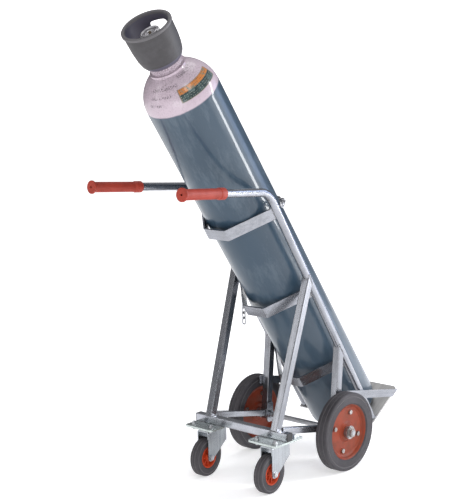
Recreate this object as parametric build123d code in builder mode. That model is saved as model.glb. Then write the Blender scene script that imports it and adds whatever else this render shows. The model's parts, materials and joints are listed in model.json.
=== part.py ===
from build123d import *
from math import acos, atan2, cos, degrees, hypot, pi, radians, sin, sqrt
import os

# Gas cylinder trolley that leans back on two road wheels and two rear castors.
# Millimetres. +X points to the toe plate, +Y to the left, +Z up, and the floor is Z = 0.
# "along" runs up the rails, "forward" is square to the rails on the toe-plate side.

# --- driving dimensions -------------------------------------------------------------
rail_lean = 32.8            # degrees that the rails lean back from vertical
wheel_d = 250.0
axle_x = 185.391              # places the whole trolley centrally over the origin
axle_along = 116.0          # axle line, measured up the rails from the foot line
axle_behind = 166.0         # axle line, measured square to the rails

tube_d = 25.0               # round rail tube
tube_wall = 2.0
rail_y_foot = 139.1         # rail centre line from the middle plane, at the foot
rail_y_bend = 148.9
rail_length = 946.0         # foot line to the corner of the handle bend
bend_radius = 80.0
handle_length = 389.0
handle_rise = 5.1           # degrees
handle_y_end = 177.8

square = 25.0               # square tube for legs, posts, side bars and crossbar
square_wall = 2.0
square_corner = 2.5

grip_length = 183.0
grip_d = 30.5
collar_d = 34.0
collar_length = 22.0
flange_d = 39.0

cradle_along = {"upper": 873.0, "middle": 563.0, "lower": 261.0}
cradle_width = 38.0
cradle_thick = 5.0
cradle_depth = 126.0        # outer face behind the rail centres
cradle_flat = 80.0          # length of the flat behind the cylinder

crossbar_length = 370.0
crossbar_behind_axle = 277.0
crossbar_z = 174.2
leg_y = 133.0
leg_along = 612.0
side_bar_square = 20.0
side_bar_rear_z = 184.2     # its centre line at the crossbar's front face
side_bar_front_z = 130.7    # and at the post's rear face
post_y = 141.2
post_along = 323.0
bracket_thick = 5.0
bracket_drop = 25.0         # axle centre to a bracket's lower edge
bracket_width = 30.0

plate_thick = 5.0
plate_top = -6.0            # toe plate's top face, along the rails
plate_front = 148.0
plate_rear = -16.0
stay_width = 25.0
stay_thick = 5.0
stay_slope = 11.3           # degrees, down towards the toe plate
stay_z_at_post = 238.0

axle_d = 16.0
wheel_gap = 161.5           # middle plane to a wheel's inner face
wheel_width = 42.0
rim_d = 176.0
hub_d = 34.0
rim_bolt_circle = 124.0
rim_bolt_count = 4
rim_bolt_start = 70.5       # degrees

castor_y = 130.0
castor_d = 121.0
castor_width = 30.0
castor_trail = 34.0
castor_yaw = 3.0            # degrees that both castors are turned at rest
castor_plate_x = 130.0
castor_plate_y = 112.0
mount_plate_thick = 3.5
castor_plate_thick = 2.5
castor_rim_d = 68.0
castor_axle_d = 10.0

bottle_lean = 34.6          # the cylinder leans slightly more than the rails
bottle_forward = 35.0       # base centre, forward of the rail centres
bottle_d = 225.4
bottle_wall = 7.0
bottle_gap = 0.3            # kept between the cylinder and what it rests on
bottle_foot_round = 15.0
shoulder_along = 1292.5     # where the straight wall ends
shoulder_height = 108.0
neck_collar_d = 110.0
neck_d = 68.0
bore_d = 28.0               # tapped hole for the valve
outlet_angle = 17.0         # degrees that the valve and the guard's window turn left

link_wire = 4.5
link_length = 27.0
link_width = 16.0
link_pitch = 17.6
chain_droop = 70.0

weld_gap = 0.1              # radial room where a flat or square member meets a round rail
running_gap = 0.05          # radial clearance of each shaft in its bore

# --- values worked out from them ----------------------------------------------------
lean = radians(rail_lean)
up_rail = Vector(-sin(lean), 0, cos(lean))
off_rail = Vector(cos(lean), 0, sin(lean))
axle_z = wheel_d / 2
axle_point = Vector(axle_x, 0, axle_z)
foot = axle_point - up_rail * axle_along + off_rail * axle_behind
frame_plane = Plane(origin=foot, x_dir=off_rail, z_dir=up_rail)
rail_mid_plane = Plane(origin=foot, x_dir=up_rail, z_dir=off_rail)
tube_r = tube_d / 2
half_square = square / 2
crossbar_x = axle_x - crossbar_behind_axle

tilt = radians(bottle_lean - rail_lean)
up_bottle = up_rail * cos(tilt) - off_rail * sin(tilt)
off_bottle = off_rail * cos(tilt) + up_rail * sin(tilt)
bottle_r = bottle_d / 2
foot_ring_r = bottle_r - bottle_foot_round
base_lift = bottle_gap + foot_ring_r * sin(tilt)
bottle_base = foot + off_rail * bottle_forward + up_rail * (plate_top + base_lift)
bottle_plane = Plane(origin=bottle_base, x_dir=off_bottle, z_dir=up_bottle)
bottle_section = Plane(origin=bottle_base, x_dir=off_bottle, z_dir=off_bottle.cross(up_bottle))
bottle_axis = Axis(bottle_base, up_bottle)
outlet_dir = off_bottle * cos(radians(outlet_angle)) + Vector(0, sin(radians(outlet_angle)), 0)
outlet_plane = Plane(origin=bottle_base, x_dir=up_bottle.cross(outlet_dir), z_dir=outlet_dir)

sides = {"right": -1, "left": 1}
os.makedirs("parts", exist_ok=True)


def save(part, name):
    """Label a finished piece and write it as one STEP file."""
    part.label = name
    export_step(part, f"parts/{name}.step")


def on_frame(forward, left, along):
    """World point from distances in the rails' own directions."""
    return foot + off_rail * forward + up_rail * along + Vector(0, left, 0)


def on_bottle(forward, left, along):
    """World point from distances in the cylinder's own directions."""
    return bottle_base + off_bottle * forward + up_bottle * along + Vector(0, left, 0)


def facing_right(x, y, z):
    """Upright plane with local X forward, local Y up and its normal to the right."""
    return Plane(origin=(x, y, z), x_dir=(1, 0, 0), z_dir=(0, -1, 0))


def rail_y(along):
    """Distance of a rail's centre from the middle plane."""
    return rail_y_foot + (rail_y_bend - rail_y_foot) * along / rail_length


def handle_direction(side):
    """Unit vector from the bend to the handle's free end."""
    rise = radians(handle_rise)
    spread = (handle_y_end - rail_y_bend) / handle_length
    return Vector(-cos(rise), side * spread, sin(rise)).normalized()


def rail_corner(side):
    return on_frame(0, side * rail_y_bend, rail_length)


def handle_end(side):
    return rail_corner(side) + handle_direction(side) * handle_length


def rail_envelope(side):
    """Solid round bar a little larger than the straight part of a rail."""
    start = on_frame(0, side * rail_y(-20), -20)
    end = on_frame(0, side * rail_y(rail_length), rail_length)
    with BuildPart() as bar:
        with BuildSketch(Plane(origin=start, z_dir=end - start)):
            Circle(tube_r + weld_gap)
        extrude(amount=(end - start).length)
    return bar.part


envelopes = {name: rail_envelope(side) for name, side in sides.items()}


def square_section(outer=square):
    """Hollow square tube section, drawn in the sketch that is open."""
    RectangleRounded(outer, outer, square_corner)
    inner = outer - 2 * square_wall
    RectangleRounded(inner, inner, square_corner / 2, mode=Mode.SUBTRACT)


# --- rails, handles and grips -------------------------------------------------------
def make_rail(name, side):
    start = on_frame(0, side * rail_y(plate_top - square), plate_top - square)
    with BuildPart() as rail:
        with BuildLine() as route:
            FilletPolyline(start, rail_corner(side), handle_end(side), radius=bend_radius)
        with BuildSketch(Plane(origin=route.line @ 0, z_dir=route.line % 0)):
            Circle(tube_r)
            Circle(tube_r - tube_wall, mode=Mode.SUBTRACT)
        sweep(path=route.line)
        split(bisect_by=frame_plane.offset(plate_top), keep=Keep.TOP)
    save(rail.part, f"rail_{name}")


def make_grip(name, side):
    """Moulded sleeve with a thicker collar at its inner end and a flange at its free end."""
    direction = handle_direction(side)
    cap = 5.0
    flange_flare = 18.0
    hole_d = 7.0
    start = handle_end(side) - direction * (grip_length - cap)
    across = direction.cross(Vector(0, 0, 1)).normalized()
    section = Plane(origin=start, x_dir=across, z_dir=across.cross(direction))
    bore = tube_r + weld_gap
    with BuildPart() as grip:
        with BuildSketch(section):
            with BuildLine():
                Polyline(
                    (bore, 0),
                    (collar_d / 2 - 1.5, 0),
                    (collar_d / 2, 1.5),
                    (collar_d / 2, collar_length),
                    (grip_d / 2, collar_length + 4),
                    (grip_d / 2, grip_length - flange_flare),
                )
                Spline(
                    (grip_d / 2, grip_length - flange_flare),
                    (grip_d / 2 + 1.2, grip_length - flange_flare / 2),
                    (flange_d / 2, grip_length - 5),
                )
                Polyline(
                    (flange_d / 2, grip_length - 5),
                    (flange_d / 2, grip_length - 1.5),
                    (flange_d / 2 - 1.5, grip_length),
                    (hole_d / 2, grip_length),
                    (hole_d / 2, grip_length - cap + 0.2),
                    (bore, grip_length - cap + 0.2),
                    (bore, 0),
                )
            make_face()
        revolve(axis=Axis(start, direction))
    save(grip.part, f"grip_{name}")


for side_name, side_sign in sides.items():
    make_rail(side_name, side_sign)
    make_grip(side_name, side_sign)


# --- cradles ------------------------------------------------------------------------
def make_cradle(name, along):
    """Flat strap bent into a tray: an arm from each rail to a flat behind the cylinder."""
    reach = rail_y(along)
    half_flat = cradle_flat / 2
    deep = cradle_depth - cradle_thick / 2
    middle = [(0, -reach), (-deep, -half_flat), (-deep, half_flat), (0, reach)]
    with BuildPart() as cradle:
        with BuildSketch(frame_plane.offset(along - cradle_width / 2)):
            with BuildLine():
                FilletPolyline(*middle, radius=cradle_thick * 1.6)
            trace(line_width=cradle_thick)
        extrude(amount=cradle_width)
        for envelope in envelopes.values():
            add(envelope, mode=Mode.SUBTRACT)
        split(bisect_by=rail_mid_plane, keep=Keep.BOTTOM)
    save(cradle.part, f"cradle_{name}")


for cradle_name, cradle_height in cradle_along.items():
    make_cradle(cradle_name, cradle_height)


# --- rear support: crossbar, legs, posts and side bars --------------------------------
def make_crossbar():
    end = -crossbar_length / 2
    with BuildPart() as crossbar:
        with BuildSketch(Plane(origin=(crossbar_x, end, crossbar_z), z_dir=(0, 1, 0))):
            square_section()
        extrude(amount=crossbar_length)
    save(crossbar.part, "crossbar")


def make_crossbar_cap(name, side):
    """Plastic plug that closes one end of the crossbar."""
    head = 3.0
    plug = 12.0
    end = Plane(
        origin=(crossbar_x, side * crossbar_length / 2, crossbar_z), z_dir=(0, side, 0)
    )
    inner = square - 2 * square_wall - 2 * weld_gap
    with BuildPart() as cap:
        with BuildSketch(end):
            RectangleRounded(square, square, square_corner)
        extrude(amount=head)
        chamfer(cap.faces().sort_by(Axis(end.origin, end.z_dir))[-1].edges(), 1)
        with BuildSketch(end):
            RectangleRounded(inner, inner, square_corner / 2)
        extrude(amount=-plug)
    save(cap.part, f"crossbar_cap_{name}")


def make_square_member(name, low, high, envelope, floor_z):
    """Square tube from low to a point on a rail's centre line, coped to the rail.

    Its lower end is cut level at floor_z and its top ends at the rail's middle plane."""
    direction = (high - low).normalized()
    start = low - direction * square
    with BuildPart() as member:
        with BuildSketch(Plane(origin=start, x_dir=(0, 1, 0), z_dir=direction)):
            square_section()
        extrude(amount=(high - start).length)
        add(envelope, mode=Mode.SUBTRACT)
        split(bisect_by=rail_mid_plane, keep=Keep.BOTTOM)
        split(bisect_by=Plane.XY.offset(floor_z), keep=Keep.TOP)
    save(member.part, name)


def leg_line(side):
    """Ends of a leg's centre line, from the crossbar's top to the rail."""
    low = Vector(crossbar_x, side * leg_y, crossbar_z + half_square)
    return low, on_frame(0, side * rail_y(leg_along), leg_along)


def make_leg(name, side):
    low, high = leg_line(side)
    make_square_member(f"leg_{name}", low, high, envelopes[name], crossbar_z + half_square)


def post_line(side):
    """Ends of a post's centre line, from the axle to the rail."""
    return Vector(axle_x, side * post_y, axle_z), on_frame(0, side * post_y, post_along)


def make_post(name, side):
    """Post from the axle bracket to the rail, bored for the axle."""
    low, high = post_line(side)
    direction = (high - low).normalized()
    bottom = axle_z - half_square
    start = low - direction * 2 * square
    with BuildPart() as post:
        with BuildSketch(Plane(origin=start, x_dir=(0, 1, 0), z_dir=direction)):
            square_section()
        extrude(amount=(high - start).length)
        add(envelopes[name], mode=Mode.SUBTRACT)
        split(bisect_by=rail_mid_plane, keep=Keep.BOTTOM)
        split(bisect_by=Plane.XY.offset(bottom), keep=Keep.TOP)
        with BuildSketch(Plane(origin=low, z_dir=(0, 1, 0))):
            Circle(axle_d / 2 + weld_gap)
        extrude(amount=square, both=True, mode=Mode.SUBTRACT)
    save(post.part, f"post_{name}")


def make_side_bar(name, side):
    """Square tube from the crossbar's front face down to the rear face of a post."""
    low, high = post_line(side)
    rearward = (high - low).normalized().cross(Vector(0, 1, 0))
    rear_x = crossbar_x + half_square
    post_face = low + rearward * half_square
    start = Vector(rear_x, side * post_y, side_bar_rear_z)
    end = Vector(post_face.X, side * post_y, side_bar_front_z)
    along = (end - start).normalized()
    leg_low, leg_high = leg_line(side)
    leg_forward = Vector(0, 1, 0).cross((leg_high - leg_low).normalized()).normalized()
    leg_face = leg_low + leg_forward * half_square
    with BuildPart() as bar:
        with BuildSketch(Plane(origin=start - along * square, x_dir=(0, 1, 0), z_dir=along)):
            square_section(side_bar_square)
        extrude(amount=(end - start).length + 2 * square)
        split(bisect_by=Plane.YZ.offset(rear_x), keep=Keep.TOP)
        split(bisect_by=Plane(origin=post_face, z_dir=rearward), keep=Keep.TOP)
        split(bisect_by=Plane(origin=leg_face, z_dir=leg_forward), keep=Keep.TOP)
    save(bar.part, f"side_bar_{name}")


def make_bracket(name, side):
    """Rounded lug welded inside a post's foot, with a boss around the axle."""
    inner = side * (post_y - half_square)
    height = 42.0
    corner = 9.0
    boss_d = 24.0
    boss_length = 8.0
    with BuildPart() as bracket:
        with BuildSketch(facing_right(axle_x, inner, axle_z)):
            with Locations((0, (height - bracket_drop) / 2)):
                RectangleRounded(bracket_width, height + bracket_drop, corner)
        extrude(amount=side * bracket_thick)
        with BuildSketch(facing_right(axle_x, inner, axle_z)):
            Circle(boss_d / 2)
        extrude(amount=side * (bracket_thick + boss_length))
        with BuildSketch(facing_right(axle_x, inner, axle_z)):
            Circle(axle_d / 2 + weld_gap)
        extrude(amount=side * (bracket_thick + boss_length), mode=Mode.SUBTRACT)
    save(bracket.part, f"axle_bracket_{name}")


make_crossbar()
for side_name, side_sign in sides.items():
    make_crossbar_cap(side_name, side_sign)
    make_leg(side_name, side_sign)
    make_post(side_name, side_sign)
    make_side_bar(side_name, side_sign)
    make_bracket(side_name, side_sign)


# --- toe plate, stays and axle --------------------------------------------------------
def make_toe_plate():
    half_width = post_y + half_square + 0.1
    corner = 9.0
    length = plate_front - plate_rear
    with BuildPart() as plate:
        with BuildSketch(frame_plane.offset(plate_top - plate_thick)):
            with Locations(((plate_front + plate_rear) / 2, 0)):
                Rectangle(length, 2 * half_width)
        extrude(amount=plate_thick)
        upright = plate.edges().filter_by(Axis(foot, up_rail))
        chamfer(upright.group_by(Axis(foot, off_rail))[-1], corner)
    save(plate.part, "toe_plate")


def make_stay(name, side):
    """Flat bar outside post and rail, from the post down to the toe plate's front corner."""
    slope = radians(stay_slope)
    along = Vector(cos(slope), 0, -sin(slope))
    inner = side * (post_y + half_square + 0.1)
    start = Vector(axle_x, inner, stay_z_at_post) - along * 14
    section = Plane(origin=start, x_dir=along, z_dir=(0, -1, 0))
    with BuildPart() as stay:
        with BuildSketch(section):
            with Locations((250, 0)):
                Rectangle(500, stay_width)
        extrude(amount=-side * stay_thick)
        split(bisect_by=frame_plane.offset(plate_top - plate_thick), keep=Keep.TOP)
        split(bisect_by=rail_mid_plane.offset(plate_front), keep=Keep.BOTTOM)
    save(stay.part, f"stay_{name}")


def make_axle():
    half_length = wheel_gap + wheel_width + 15.0
    with BuildPart() as axle:
        with BuildSketch(facing_right(axle_x, half_length, axle_z)):
            Circle(axle_d / 2)
        extrude(amount=2 * half_length)
        chamfer(axle.edges().filter_by(GeomType.CIRCLE), 1.5)
    save(axle.part, "axle")


def make_axle_nut(name, side):
    """Plain washer and hexagon nut on one end of the axle, as two solids."""
    washer_face = side * (wheel_gap + wheel_width + 2.8)
    washer_thick = 2.0
    nut_thick = 8.0
    with BuildPart() as nut:
        with BuildSketch(facing_right(axle_x, washer_face, axle_z)):
            Circle(19)
            Circle(axle_d / 2 + weld_gap, mode=Mode.SUBTRACT)
        extrude(amount=-side * washer_thick)
        nut_face = washer_face + side * (washer_thick + weld_gap)
        with BuildSketch(facing_right(axle_x, nut_face, axle_z)):
            RegularPolygon(12, 6, major_radius=False)
            Circle(axle_d / 2 + weld_gap, mode=Mode.SUBTRACT)
        extrude(amount=-side * nut_thick)
    save(nut.part, f"axle_nut_{name}")


# --- road wheels ----------------------------------------------------------------------
def revolve_profile(points, plane, axis, mode=Mode.ADD):
    """Turn a closed outline of (radius, along) points about an axis in the open part."""
    with BuildSketch(plane) as outline:
        with BuildLine():
            Polyline(*points, close=True)
        make_face()
    revolve(outline.sketch, axis=axis, mode=mode)


def mirrored(half):
    """Outline points for one half, and the same with the second value negated, in order."""
    return half + [(x, -y) for x, y in reversed(half)]


def tyre_outline(inner_r, outer_r, half, shoulder, groove):
    """Cross-section of a solid rubber tyre with a ribbed tread and a sidewall line."""
    steps = 6
    centre_r = outer_r - shoulder
    centre_a = half - shoulder
    turn = [radians(90 * n / steps) for n in range(steps + 1)]
    arc = [(centre_r + shoulder * sin(t), centre_a + shoulder * cos(t)) for t in turn]
    line_r = inner_r + 0.66 * (outer_r - inner_r)
    rib = 0.35 * half
    side_wall = [
        (inner_r, half * 0.8),
        (inner_r + 0.12 * (outer_r - inner_r), half),
        (line_r - groove, half),
        (line_r, half - groove * 0.8),
        (line_r + groove, half),
    ]
    tread = [
        (outer_r, rib + groove),
        (outer_r - groove, rib + groove * 0.6),
        (outer_r - groove, rib - groove * 0.6),
        (outer_r, rib - groove),
    ]
    return mirrored(side_wall + arc + tread)


def make_wheel(name, side):
    middle = side * (wheel_gap + wheel_width / 2)
    section = Plane(origin=(axle_x, middle, axle_z), x_dir=(1, 0, 0), z_dir=(0, 0, side))
    spin = Axis((axle_x, middle, axle_z), (0, 1, 0))
    half = wheel_width / 2
    rim_r = rim_d / 2
    hub_r = hub_d / 2
    disc_face = 5.5
    sheet = 2.5
    bolt_r = 4.0

    with BuildPart() as tyre:
        outline = tyre_outline(rim_r + 0.2, wheel_d / 2, half, 6.0, 1.6)
        revolve_profile(outline, section, spin)
    save(tyre.part, f"wheel_tyre_{name}")

    front_half = [
        (hub_r + 0.1, disc_face + 4),
        (28, disc_face + 4),
        (34, disc_face),
        (rim_r - 14, disc_face),
        (rim_r - 7, disc_face + 3.5),
        (rim_r - 3.5, disc_face + 9),
        (rim_r, disc_face + 12),
        (rim_r, disc_face + 9),
        (rim_r - 1.2, disc_face + 7.6),
        (rim_r - 5, disc_face + 1.6),
        (rim_r - 12.5, disc_face - sheet),
        (33, disc_face - sheet),
        (27, disc_face + 4 - sheet),
        (hub_r + 0.1, disc_face + 4 - sheet),
    ]
    back_half = [(r, -a) for r, a in front_half]
    for label, outline in (("outer", front_half), ("inner", back_half)):
        with BuildPart() as rim:
            revolve_profile(outline, section, spin)
            with BuildSketch(facing_right(axle_x, middle, axle_z)):
                with PolarLocations(rim_bolt_circle / 2, rim_bolt_count, rim_bolt_start):
                    Circle(bolt_r + weld_gap)
            extrude(amount=half, both=True, mode=Mode.SUBTRACT)
        save(rim.part, f"wheel_rim_{label}_{name}")

    with BuildPart() as hub:
        hub_outline = [
            (axle_d / 2 + running_gap, -half - 6.5),
            (hub_r - 3, -half - 6.5),
            (hub_r, -half - 3),
            (hub_r, half),
            (hub_r + 4, half),
            (hub_r + 4, half + 2.5),
            (axle_d / 2 + running_gap, half + 2.5),
        ]
        revolve_profile(hub_outline, section, spin)
    save(hub.part, f"wheel_hub_{name}")

    head = disc_face + weld_gap
    with BuildPart() as bolts:
        for face, outward in ((middle + side * head, 1), (middle - side * head, -1)):
            with BuildSketch(facing_right(axle_x, face, axle_z)):
                with PolarLocations(rim_bolt_circle / 2, rim_bolt_count, rim_bolt_start):
                    RegularPolygon(6.5, 6, major_radius=False)
            extrude(amount=-side * outward * 5.3)
        with BuildSketch(facing_right(axle_x, middle + side * (head + 1), axle_z)):
            with PolarLocations(rim_bolt_circle / 2, rim_bolt_count, rim_bolt_start):
                Circle(bolt_r)
        extrude(amount=side * (2 * head + 8))
    save(bolts.part, f"wheel_bolts_{name}")


make_toe_plate()
make_axle()
for side_name, side_sign in sides.items():
    make_stay(side_name, side_sign)
    make_axle_nut(side_name, side_sign)
    make_wheel(side_name, side_sign)


# --- swivel castors -------------------------------------------------------------------
def make_castor(name, side):
    """Swivel castor under one end of the crossbar, trailing to the rear."""
    yaw = radians(castor_yaw)
    trail_dir = Vector(-cos(yaw), -sin(yaw), 0)
    across_dir = Vector(sin(yaw), -cos(yaw), 0)
    swivel = Vector(crossbar_x, side * castor_y, 0)
    mount_top = crossbar_z - half_square
    mount_bottom = mount_top - mount_plate_thick
    plate_bottom = mount_bottom - castor_plate_thick
    crown_top = plate_bottom - 9.5
    crown_thick = 4.0
    fork_half = 22.0
    leg_thick = 3.0
    castor_r = castor_d / 2
    hub_centre = swivel + trail_dir * castor_trail + Vector(0, 0, castor_r)
    bolt_x, bolt_y, bolt_r = 44.0, 36.0, 4.0

    def level(z):
        """Horizontal plane centred on the swivel axis, square to the trolley."""
        return Plane(origin=swivel + Vector(0, 0, z), x_dir=(1, 0, 0), z_dir=(0, 0, 1))

    def bolt_places():
        return GridLocations(2 * bolt_x, 2 * bolt_y, 2, 2)

    plates = (
        ("mount_plate", mount_top, mount_plate_thick),
        ("castor_plate", mount_bottom, castor_plate_thick),
    )
    for label, top, thick in plates:
        with BuildPart() as plate:
            with BuildSketch(level(top)):
                RectangleRounded(castor_plate_x, castor_plate_y, 8)
                with bolt_places():
                    Circle(bolt_r + weld_gap, mode=Mode.SUBTRACT)
            extrude(amount=-thick)
        save(plate.part, f"{label}_{name}")

    with BuildPart() as bolts:
        with BuildSketch(level(mount_top + weld_gap)):
            with bolt_places():
                RegularPolygon(6.5, 6, major_radius=False)
        extrude(amount=6.5)
        with BuildSketch(level(plate_bottom - weld_gap)):
            with bolt_places():
                RegularPolygon(6.5, 6, major_radius=False)
        extrude(amount=-5.3)
        with BuildSketch(level(mount_top + 10)):
            with bolt_places():
                Circle(bolt_r)
        extrude(amount=plate_bottom - mount_top - 20)
    save(bolts.part, f"castor_bolts_{name}")

    pin_r = 5.0
    upright = Plane(origin=swivel, x_dir=(1, 0, 0), z_dir=(0, -1, 0))
    with BuildPart() as head:
        nut_top = crown_top - crown_thick - 0.4
        outline = [
            (0, plate_bottom),
            (30, plate_bottom),
            (30, plate_bottom - 2.5),
            (28, crown_top + 3.9),
            (pin_r, crown_top + 3.9),
            (pin_r, nut_top),
            (9, nut_top),
            (9, nut_top - 6),
            (0, nut_top - 6),
        ]
        revolve_profile(outline, upright, Axis(swivel, (0, 0, 1)))
    save(head.part, f"castor_head_{name}")

    side_view = Plane(origin=swivel, x_dir=trail_dir, z_dir=trail_dir.cross(Vector(0, 0, 1)))
    boss_r = 12.0
    rear = castor_trail + boss_r
    front = -43.0
    knee_z = 102.0
    with BuildPart() as fork:
        with BuildSketch(side_view):
            with BuildLine():
                Polyline((rear, crown_top), (front, crown_top), (front, knee_z))
            with Locations((castor_trail, castor_r)):
                Circle(boss_r)
            make_hull()
        extrude(amount=fork_half, both=True)
        crown_edges = fork.faces().sort_by(Axis.Z)[-1].edges().filter_by(Axis(swivel, trail_dir))
        fillet(crown_edges, 5)
        with BuildSketch(side_view):
            with Locations(((rear + front) / 2, (crown_top - crown_thick) / 2)):
                Rectangle(4 * boss_r + 100, crown_top - crown_thick)
        extrude(amount=fork_half - leg_thick, both=True, mode=Mode.SUBTRACT)
        with BuildSketch(level(crown_top)):
            Circle(26)
        extrude(amount=3.5)
        with BuildSketch(level(crown_top + 4)):
            Circle(pin_r + running_gap)
        extrude(amount=-20, mode=Mode.SUBTRACT)
        with BuildSketch(side_view):
            with Locations((castor_trail, castor_r)):
                Circle(castor_axle_d / 2 + weld_gap)
        extrude(amount=2 * fork_half, both=True, mode=Mode.SUBTRACT)
    save(fork.part, f"castor_fork_{name}")

    section = Plane(origin=hub_centre, x_dir=(0, 0, 1), z_dir=Vector(0, 0, 1).cross(across_dir))
    spin = Axis(hub_centre, across_dir)
    half = castor_width / 2
    castor_rim_r = castor_rim_d / 2
    bore = castor_axle_d / 2 + running_gap
    with BuildPart() as tyre:
        revolve_profile(tyre_outline(castor_rim_r + 0.2, castor_r, half, 5.0, 1.0), section, spin)
    save(tyre.part, f"castor_tyre_{name}")

    web = 3.5
    rib_count, rib_inner, rib_outer, rib_thick = 8, 11.0, 31.0, 2.4
    half_rim = [
        (bore, half + 2.5),
        (10, half + 2.5),
        (11.5, half - 2),
        (13, web),
        (27, web),
        (castor_rim_r - 4.5, half - 5),
        (castor_rim_r - 3, half - 1),
        (castor_rim_r, half - 1),
        (castor_rim_r, half - 4.5),
        (castor_rim_r - 1.5, 3),
    ]
    with BuildPart() as rim:
        revolve_profile(mirrored(half_rim), section, spin)
        with BuildSketch(Plane(origin=hub_centre, x_dir=(0, 0, 1), z_dir=across_dir)):
            with PolarLocations((rib_inner + rib_outer) / 2, rib_count):
                Rectangle(rib_outer - rib_inner, rib_thick)
        extrude(amount=half - 6, both=True)
    save(rim.part, f"castor_rim_{name}")

    outer = Plane(origin=hub_centre + across_dir * (fork_half + weld_gap), z_dir=across_dir)
    inner = Plane(origin=hub_centre - across_dir * (fork_half + weld_gap), z_dir=-across_dir)
    with BuildPart() as axle_bolt:
        for face in (outer, inner):
            with BuildSketch(face):
                RegularPolygon(7.5, 6, major_radius=False)
            extrude(amount=6)
        with BuildSketch(outer.offset(1)):
            Circle(castor_axle_d / 2)
        extrude(amount=-2 * fork_half - 10)
    save(axle_bolt.part, f"castor_axle_{name}")


for side_name, side_sign in sides.items():
    make_castor(side_name, side_sign)


# --- gas cylinder ---------------------------------------------------------------------
collar_base = shoulder_along + shoulder_height * sqrt(1 - (neck_collar_d / bottle_d) ** 2)
collar_top = shoulder_along + 101.5
guard_base = shoulder_along + 120.5
rim_centre = bottle_base + up_bottle * (guard_base + 121)
rim_dir = (up_bottle - Vector(0, 0.09, 0)).normalized()
neck_top = shoulder_along + 138.0
stem_bottom = shoulder_along + 99.0


def make_vessel():
    """Steel cylinder with a dished base, a rounded foot, a domed shoulder and an open neck."""
    collar_r = neck_collar_d / 2
    bore_r = bore_d / 2
    dome_turn = degrees(acos(neck_collar_d / bottle_d))
    inner_r = bottle_r - bottle_wall
    inner_height = shoulder_height - 20.0
    inner_turn = degrees(acos(bore_r / inner_r))
    bore_foot = shoulder_along + inner_height * sqrt(1 - (bore_r / inner_r) ** 2)
    with BuildPart() as vessel:
        with BuildSketch(bottle_section):
            with BuildLine():
                Polyline((0, 11), (60, 8), (foot_ring_r - 8, 0.5), (foot_ring_r, 0))
                CenterArc((foot_ring_r, bottle_foot_round), bottle_foot_round, -90, 90)
                Line((bottle_r, bottle_foot_round), (bottle_r, shoulder_along))
                EllipticalCenterArc(
                    (0, shoulder_along), bottle_r, shoulder_height, 0, arc_size=dome_turn
                )
                Polyline(
                    (collar_r, collar_base),
                    (collar_r, collar_top),
                    (neck_d / 2, collar_top),
                    (neck_d / 2, neck_top - 1.5),
                    (neck_d / 2 - 1.5, neck_top),
                    (bore_r, neck_top),
                    (bore_r, bore_foot),
                )
                EllipticalCenterArc(
                    (0, shoulder_along), inner_r, inner_height, 0, arc_size=inner_turn
                )
                Polyline(
                    (inner_r, shoulder_along),
                    (inner_r, 34),
                    (foot_ring_r - 14, 18),
                    (0, 22),
                    (0, 11),
                )
            make_face()
        revolve(axis=bottle_axis)
    save(vessel.part, "cylinder_vessel")


def make_neck_ring():
    """Ring on the neck that carries the guard, with a wide groove round it."""
    bore = neck_d / 2 + weld_gap
    groove_r = 48.5
    lip_r = 51.0
    lip = 6.5
    with BuildPart() as ring:
        outline = [
            (bore, collar_top + 0.1),
            (groove_r, collar_top + 0.1),
            (groove_r, guard_base - lip - 1),
            (lip_r - 1, guard_base - lip),
            (lip_r, guard_base - lip + 1),
            (lip_r, guard_base - 1.1),
            (lip_r - 1, guard_base - 0.1),
            (bore, guard_base - 0.1),
        ]
        revolve_profile(outline, bottle_section, bottle_axis)
    save(ring.part, "neck_ring")


def make_guard():
    """Open valve guard that flares from the neck, with a rolled lip and a window in front."""
    wall = 5.0
    lip = 9.0
    floor_thick = 6.5
    heights = [0, 6, 15, 35, 63, 98, 130]
    radii = [50.5, 57, 62, 67, 70, 71, 71]
    outer = [(r, guard_base + h) for r, h in zip(radii, heights)]
    inner = [(r - wall, z) for r, z in reversed(outer[2:])]
    floor = [
        (50, guard_base + floor_thick),
        (neck_d / 2 + weld_gap, guard_base + floor_thick),
        (neck_d / 2 + weld_gap, guard_base),
    ]
    lip_outline = [
        (64.5, -lip - 0.5),
        (72.5, -lip - 0.5),
        (74, -lip + 1),
        (74, -2),
        (72, 0),
        (66.5, 0),
        (64.5, -2),
    ]
    rim_section = Plane(origin=rim_centre, x_dir=off_bottle, z_dir=off_bottle.cross(rim_dir))
    window_low, window_high, window_width = 24, 94, 56
    with BuildPart() as guard:
        revolve_profile(outer + inner + floor, bottle_section, bottle_axis)
        split(bisect_by=Plane(origin=rim_centre - rim_dir * lip, z_dir=rim_dir), keep=Keep.BOTTOM)
        revolve_profile(lip_outline, rim_section, Axis(rim_centre, rim_dir))
        with BuildSketch(outlet_plane):
            with Locations((0, guard_base + (window_low + window_high) / 2)):
                RectangleRounded(window_width, window_high - window_low, 10)
        extrude(amount=100, mode=Mode.SUBTRACT)
    save(guard.part, "valve_guard")


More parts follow.
